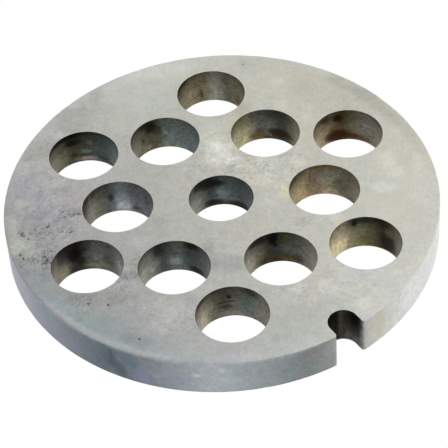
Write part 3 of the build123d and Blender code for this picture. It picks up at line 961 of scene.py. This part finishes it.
# --------------------------------------------------------------------------
# unwrapped map: two discs side by side, the walls in strips below them
# --------------------------------------------------------------------------
PX = 1024.0
S_TOP, S_BOT, S_RIM, S_BORE = 8.35, 7.25, 10.1, 10.2
uv_layer = mesh.uv_layers.new(name="OFBake")
uvs = np.zeros((len(mesh.loops), 2))
li = 0
y_rim = 536.0
y_bore = y_rim + 2 * 66.0
half_len = None
for (hole, u0, u1, length, v0, v1, total) in quad_uv:
    if hole == 20:
        half = length / 2
        mid = (u0 + u1) / 2
        strip = 0 if mid < half else 1
        us = [6 + (u - strip * half) * S_RIM for u in (u0, u0, u1, u1)]
        base = y_rim + strip * 66.0
        vs = [base + v * S_RIM for v in (v0, v1, v1, v0)]
    else:
        col, line = hole % 3, hole // 3
        us = [6 + col * 340.0 + u * S_BORE for u in (u0, u0, u1, u1)]
        base = y_bore + line * 68.0
        vs = [base + v * S_BORE for v in (v0, v1, v1, v0)]
    for u, v in zip(us, vs):
        uvs[li] = (u / PX, 1 - v / PX)
        li += 1
loop_vert = np.zeros(len(mesh.loops), int)
mesh.loops.foreach_get("vertex_index", loop_vert)
n_top, n_bot = 3 * len(top_tris), 3 * len(bot_tris)
t_xy = verts[loop_vert[li : li + n_top]]
uvs[li : li + n_top] = np.column_stack([(264 + t_xy[:, 0] * S_TOP) / PX, 1 - (264 - t_xy[:, 1] * S_TOP) / PX])
b_xy = verts[loop_vert[li + n_top :]]
uvs[li + n_top :] = np.column_stack([(790 - b_xy[:, 0] * S_BOT) / PX, 1 - (264 - b_xy[:, 1] * S_BOT) / PX])
uv_layer.data.foreach_set("uv", uvs.ravel())

# --------------------------------------------------------------------------
# camera: the photographer's place, above the plate and a little to the left
# --------------------------------------------------------------------------
EL, ROLL, DIST = 45.37, -3.91, 291.6
rx, ry = row(1, 0)
right0 = Vector((rx, ry, 0))
bx, by = row(0, -math.cos(math.radians(EL)))
back = Vector((bx, by, math.sin(math.radians(EL))))
up0 = back.cross(right0)
cr, sr = math.cos(math.radians(ROLL)), math.sin(math.radians(ROLL))
right = right0 * cr + up0 * sr
up = -right0 * sr + up0 * cr
ax, ay = row(0.21, -5.34)
aim = Vector((ax, ay, T))
place = aim + back * DIST - right * 0.07 + up * 0.07
cam_data = bpy.data.cameras.new("camera")
cam_data.sensor_width = 36.0
cam_data.lens = 2077.09 * 36.0 / 448.0
cam_data.clip_start, cam_data.clip_end = 0.01, 20.0
cam = bpy.data.objects.new("camera", cam_data)
cam.matrix_world = Matrix(
    (
        (right.x, up.x, back.x, place.x / 1000),
        (right.y, up.y, back.y, place.y / 1000),
        (right.z, up.z, back.z, place.z / 1000),
        (0, 0, 0, 1),
    )
)
bpy.context.scene.collection.objects.link(cam)
bpy.context.scene.camera = cam

# --------------------------------------------------------------------------
# small helpers for node trees
# --------------------------------------------------------------------------
class Graph:
    def __init__(self, tree):
        self.t = tree
        tree.nodes.clear()

    def node(self, kind, **props):
        n = self.t.nodes.new(kind)
        for k, v in props.items():
            setattr(n, k, v)
        return n

    def put(self, sock, v):
        if isinstance(v, bpy.types.NodeSocket):
            self.t.links.new(v, sock)
        elif isinstance(v, (tuple, list)) and len(sock.default_value) == 4 and len(v) == 3:
            sock.default_value = (*v, 1.0)
        else:
            sock.default_value = v

    def math(self, op, a, b=None, c=None, clamp=False):
        n = self.node("ShaderNodeMath", operation=op, use_clamp=clamp)
        for i, v in enumerate((a, b, c)):
            if v is not None:
                self.put(n.inputs[i], v)
        return n.outputs[0]

    def vec(self, op, a, b=None, scale=None):
        n = self.node("ShaderNodeVectorMath", operation=op)
        self.put(n.inputs[0], a)
        if b is not None:
            self.put(n.inputs[1], b)
        if scale is not None:
            self.put(n.inputs[3], scale)
        return n.outputs["Value"] if op in ("LENGTH", "DOT_PRODUCT", "DISTANCE") else n.outputs["Vector"]

    def mix(self, f, a, b, blend="MIX"):
        n = self.node("ShaderNodeMix", data_type="RGBA", blend_type=blend)
        n.clamp_factor = True
        self.put(n.inputs[0], f)
        self.put(n.inputs[6], a)
        self.put(n.inputs[7], b)
        return n.outputs[2]

    def span(self, x, lo, hi, a=0.0, b=1.0, smooth=True):
        n = self.node("ShaderNodeMapRange", interpolation_type="SMOOTHSTEP" if smooth else "LINEAR", clamp=True)
        for i, v in enumerate((x, lo, hi, a, b)):
            self.put(n.inputs[i], v)
        return n.outputs[0]

    def noise(self, p, scale, detail=3.0, rough=0.5, distortion=0.0):
        n = self.node("ShaderNodeTexNoise", noise_dimensions="3D")
        self.put(n.inputs["Vector"], p)
        n.inputs["Scale"].default_value = scale
        n.inputs["Detail"].default_value = detail
        n.inputs["Roughness"].default_value = rough
        n.inputs["Distortion"].default_value = distortion
        return n.outputs[0]

    def cells(self, p, scale, feature="F1", jitter=1.0):
        n = self.node("ShaderNodeTexVoronoi", voronoi_dimensions="3D", feature=feature)
        self.put(n.inputs["Vector"], p)
        n.inputs["Scale"].default_value = scale
        n.inputs["Randomness"].default_value = jitter
        return n.outputs

    def attr(self, name):
        return self.node("ShaderNodeAttribute", attribute_type="GEOMETRY", attribute_name=name)

    def parts(self, v):
        n = self.node("ShaderNodeSeparateXYZ")
        self.put(n.inputs[0], v)
        return n.outputs

    def join(self, x, y, z):
        n = self.node("ShaderNodeCombineXYZ")
        for i, v in enumerate((x, y, z)):
            self.put(n.inputs[i], v)
        return n.outputs[0]


# --------------------------------------------------------------------------
# the studio: a soft grey room, brighter on the right, over a pale floor
# --------------------------------------------------------------------------
scene = bpy.context.scene
scene.view_settings.view_transform = "Standard"
scene.view_settings.look = "None"
scene.view_settings.exposure = 0.0
scene.view_settings.gamma = 1.0

world = bpy.data.worlds.new("room")
scene.world = world
world.use_nodes = True
g = Graph(world.node_tree)
coord = g.node("ShaderNodeTexCoord").outputs["Generated"]
turned = g.node("ShaderNodeVectorRotate", rotation_type="Z_AXIS")
g.put(turned.inputs["Vector"], coord)
turned.inputs["Angle"].default_value = math.radians(TURN)
d = g.parts(turned.outputs[0])
dx, dy, dz = d[0], d[1], d[2]
# above the bench: from a cool left to a warm, bright right
side = g.span(dx, -0.75, 0.75)
upper = g.mix(side, UPPER[0], UPPER[1])
# the bench: dark slate to the left and front, bright to the right and behind
az = g.math("ARCTAN2", dy, dx)
ramp = g.node("ShaderNodeValToRGB")
g.put(ramp.inputs[0], g.math("MULTIPLY_ADD", az, 1 / (2 * math.pi), 0.5))
ramp.color_ramp.interpolation = "B_SPLINE"
els = ramp.color_ramp.elements
els[0].position, els[0].color = 0.0, (*BENCH[0][1], 1)
els[1].position, els[1].color = 1.0, (*BENCH[-1][1], 1)
for deg, rgb in BENCH[1:-1]:
    e = els.new((deg + 180) / 360)
    e.color = (*rgb, 1)
room = g.mix(g.span(dz, -0.25, 0.12), ramp.outputs[0], upper)
bg = g.node("ShaderNodeBackground")
g.put(bg.inputs[0], room)
bg.inputs[1].default_value = ROOM_POWER
seen_bg = g.node("ShaderNodeBackground")
seen_bg.inputs[0].default_value = (1, 1, 1, 1)
seen_bg.inputs[1].default_value = 1.0
pick = g.node("ShaderNodeMixShader")
g.put(pick.inputs[0], g.node("ShaderNodeLightPath").outputs["Is Camera Ray"])
world.node_tree.links.new(bg.outputs[0], pick.inputs[1])
world.node_tree.links.new(seen_bg.outputs[0], pick.inputs[2])
world.node_tree.links.new(pick.outputs[0], g.node("ShaderNodeOutputWorld").inputs[0])

# a pale light-table: it shows white and doesn't light the plate from below
floor_mesh = bpy.data.meshes.new("floor")
floor_mesh.from_pydata([(-3, -3, -0.00002), (3, -3, -0.00002), (3, 3, -0.00002), (-3, 3, -0.00002)], [], [(0, 1, 2, 3)])
floor = bpy.data.objects.new("floor", floor_mesh)
bpy.context.scene.collection.objects.link(floor)
fm = bpy.data.materials.new("pale_floor")
fm.use_nodes = True
g = Graph(fm.node_tree)
em = g.node("ShaderNodeEmission")
em.inputs[0].default_value = (1, 1, 1, 1)
em.inputs[1].default_value = 1.0
fm.node_tree.links.new(em.outputs[0], g.node("ShaderNodeOutputMaterial").inputs[0])
floor_mesh.materials.append(fm)
floor.visible_diffuse = False
floor.visible_glossy = False
floor.visible_transmission = False
floor.visible_shadow = False


def softbox(name, at, look, size, power, colour):
    ld = bpy.data.lights.new(name, "AREA")
    ld.shape = "DISK"
    ld.size = size
    ld.energy = power
    ld.color = colour
    lo_ = bpy.data.objects.new(name, ld)
    x, y = row(at[0], at[1])
    p = Vector((x, y, at[2]))
    lo_.location = p
    x, y = row(look[0], look[1])
    lo_.rotation_mode = "QUATERNION"
    lo_.rotation_quaternion = (Vector((x, y, look[2])) - p).to_track_quat("-Z", "Y")
    bpy.context.scene.collection.objects.link(lo_)
    return lo_


for name, at, size, power, tone_ in SOFTBOXES:
    softbox(name, at, (0, 0, 0), size, power, tone_)

# --------------------------------------------------------------------------
# steel: ground, stained and pitted; the bores dark with old fat and oxide
# --------------------------------------------------------------------------
steel = bpy.data.materials.new("ground_steel")
steel.use_nodes = True
g = Graph(steel.node_tree)
mm = g.vec("SCALE", g.node("ShaderNodeTexCoord").outputs["Object"], scale=1000.0)
spin = g.node("ShaderNodeVectorRotate", rotation_type="Z_AXIS")
g.put(spin.inputs["Vector"], mm)
spin.inputs["Angle"].default_value = math.radians(TURN)
p = spin.outputs[0]
x, y, z = g.parts(p)
state = g.parts(g.attr("state").outputs["Vector"])
wear = g.parts(g.attr("wear").outputs["Vector"])
mottle_, speck_, wall_ = state[0], state[1], state[2]
pit_, dirty_, edge_ = wear[0], wear[1], wear[2]
colour = g.attr("paint").outputs["Vector"]


def swing(n, amount):
    """Noise as a signed share: (n - 0.5) times an amount."""
    return g.math("MULTIPLY", g.math("SUBTRACT", n, 0.5), amount)


# clouds, blotches, crumbs and grain, as shares of the base tone
clouds = g.noise(p, 0.30, 2.0, 0.5)
blotch = g.noise(g.vec("ADD", p, (13.0, 4.0, 2.0)), 0.95, 3.0, 0.6, 0.4)
crumb = g.noise(g.vec("MULTIPLY", g.vec("ADD", p, (5.0, 23.0, 2.0)), (2.2, 1.7, 2.0)), 1.0, 2.0, 0.55, 0.8)
grain = g.noise(g.vec("MULTIPLY", p, (3.8, 3.0, 3.4)), 1.0, 3.0, 0.65)
streak = g.noise(g.vec("MULTIPLY", p, (5.5, 0.30, 1.0)), 1.0, 2.0, 0.5)
t1 = g.math("MULTIPLY", g.math("ADD", swing(clouds, 0.34), swing(blotch, 0.72)), mottle_)
t2 = g.math("ADD", swing(grain, 0.20), swing(crumb, 0.42))
t2 = g.math("MULTIPLY", t2, g.math("SUBTRACT", g.math("MULTIPLY_ADD", mottle_, 1.0, 0.25), g.math("MULTIPLY", wall_, 0.25)))
on_face_ = g.math("SUBTRACT", 1.0, wall_)
# scars: ragged crust, with a painted highlight and painted shade from one side, as on a shallow relief
crust_ = g.parts(g.attr("crust").outputs["Vector"])[0]
relief_at = g.vec("MULTIPLY", g.vec("ADD", p, (11.0, 3.0, 1.0)), (1.3, 1.7, 1.6))
relief = g.noise(relief_at, 1.0, 3.0, 0.6, 1.3)
beside = g.noise(g.vec("ADD", relief_at, (0.28, -0.30, 0.0)), 1.0, 3.0, 0.6, 1.3)
# painted highlight and shade of the relief, scaled by the crust
relief_highlight_shade = g.math("MULTIPLY", g.math("SUBTRACT", relief, beside), g.math("MULTIPLY", crust_, 1.45))
sunk = g.math("MULTIPLY", g.span(relief, 0.56, 0.66), crust_)
t3 = g.math("MULTIPLY", swing(streak, 0.07), on_face_)
t3 = g.math("ADD", t3, g.math("MULTIPLY_ADD", sunk, -0.62, relief_highlight_shade))
nick = g.cells(g.vec("MULTIPLY", g.vec("ADD", p, (31.0, 12.0, 0.0)), (0.85, 1.1, 1.0)), 1.0)
nick_pick = g.parts(nick["Color"])
nick_dot = g.span(g.math("ADD", nick["Distance"], swing(relief, 1.5)), 0.14, 0.38, 1.0, 0.0)
nick_there = g.math("LESS_THAN", nick_pick[0], g.math("MULTIPLY_ADD", crust_, 0.85, -0.12))
t3 = g.math("MULTIPLY_ADD", g.math("MULTIPLY", nick_dot, g.math("MULTIPLY", nick_there, crust_)), -0.60, t3)
# thin crooked scratches and crusts: where a wandering noise crosses its middle
crook = g.noise(g.vec("ADD", p, (2.0, 61.0, 3.0)), 1.25, 3.0, 0.6, 1.6)
line = g.span(g.math("ABSOLUTE", g.math("SUBTRACT", crook, 0.5)), 0.0, 0.022, 1.0, 0.0)
where_ = g.span(g.noise(g.vec("ADD", p, (71.0, 5.0, 3.0)), 0.8, 2.0, 0.5), 0.48, 0.62)
scar = g.math("MULTIPLY", g.math("MULTIPLY", line, where_), g.math("MULTIPLY", on_face_, mottle_))
t3 = g.math("MULTIPLY_ADD", scar, -0.20, t3)
chip = g.span(g.noise(g.vec("ADD", p, (9.0, 17.0, 33.0)), 2.1, 3.0, 0.6), 0.62, 0.72)
t3 = g.math("MULTIPLY_ADD", g.math("MULTIPLY", chip, g.math("MULTIPLY", on_face_, mottle_)), 0.09, t3)
# walls: feed marks that run round the bores, and stains that run down
round_ = g.noise(g.vec("MULTIPLY", p, (0.5, 0.5, 4.2)), 1.0, 3.0, 0.6, 0.3)
down_ = g.noise(g.vec("MULTIPLY", p, (2.4, 2.4, 0.45)), 1.0, 3.0, 0.6)
spots = g.noise(g.vec("ADD", p, (3.0, 31.0, 8.0)), 1.7, 4.0, 0.65, 0.5)
w1 = g.math("ADD", swing(round_, 0.42), swing(spots, 2.2))
w1 = g.math("ADD", w1, swing(grain, 0.25))
w2 = g.math("MULTIPLY", g.math("ADD", w1, swing(down_, 0.2)), dirty_)
share = g.math("ADD", g.math("ADD", t1, t2), g.math("ADD", t3, w2))
share = g.math("MAXIMUM", g.math("ADD", share, 1.0), 0.15)
colour = g.vec("SCALE", colour, scale=share)

# warm and cool films
film = g.noise(g.vec("ADD", p, (41.0, 7.0, 5.0)), 0.42, 3.0, 0.6)
film_amt = g.math("MULTIPLY", swing(film, 0.10), g.math("MULTIPLY_ADD", dirty_, 2.0, 1.0))
shift = g.join(g.math("ADD", 1.0, film_amt), 1.0, g.math("SUBTRACT", 1.0, film_amt))
colour = g.vec("MULTIPLY", colour, shift)

# small dark specks, thick among the pits, with ragged outlines
for scale, r, dark, seed in ((1.5, 0.20, 0.30, 0.0), (3.4, 0.22, 0.24, 17.0)):
    c_ = g.cells(g.vec("ADD", p, (seed, seed * 0.7, 0.0)), scale)
    chance = g.parts(c_["Color"])
    near = g.math("ADD", c_["Distance"], swing(grain, 0.35))
    dot = g.span(near, r * 0.35, r, 1.0, 0.0)
    there = g.math("LESS_THAN", chance[0], g.math("MULTIPLY", speck_, 0.8))
    size_ = g.math("MULTIPLY_ADD", chance[1], 0.7, 0.3)
    hit = g.math("MULTIPLY", g.math("MULTIPLY", dot, there), size_)
    colour = g.vec("SCALE", colour, scale=g.math("MULTIPLY_ADD", hit, -dark, 1.0))

# pits: dark brown in the bottom
hole_dark = g.span(g.math("ADD", pit_, swing(grain, 1.2)), 0.25, 0.95)
colour = g.mix(hole_dark, colour, g.vec("MULTIPLY", colour, (0.42, 0.40, 0.40)))

rough = g.math("MULTIPLY_ADD", dirty_, 0.12, 0.44)
rough = g.math("ADD", rough, g.math("ADD", swing(blotch, 0.16), swing(grain, 0.10)))
rough = g.math("MULTIPLY_ADD", hole_dark, 0.15, rough, clamp=True)

bump = g.node("ShaderNodeBump")
bump.inputs["Strength"].default_value = 1.0
bump.inputs["Distance"].default_value = 0.00001
fine = g.math("ADD", g.math("MULTIPLY", grain, 0.35), g.math("MULTIPLY", streak, 0.15))
high = g.math("ADD", g.math("MULTIPLY", blotch, 0.6), g.math("MULTIPLY", fine, g.math("MULTIPLY_ADD", wall_, -0.75, 1.0)))
high = g.math("ADD", high, g.math("MULTIPLY", g.math("ADD", g.math("MULTIPLY", round_, 0.5), spots), dirty_))
g.put(bump.inputs["Height"], high)

bsdf = g.node("ShaderNodeBsdfPrincipled")
g.put(bsdf.inputs["Base Color"], colour)
bsdf.inputs["Metallic"].default_value = 1.0
g.put(bsdf.inputs["Roughness"], rough)
g.put(bsdf.inputs["Normal"], bump.outputs[0])
steel.node_tree.links.new(bsdf.outputs[0], g.node("ShaderNodeOutputMaterial").inputs[0])
mesh.materials.append(steel)

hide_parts("plate")
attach(plate, "root")
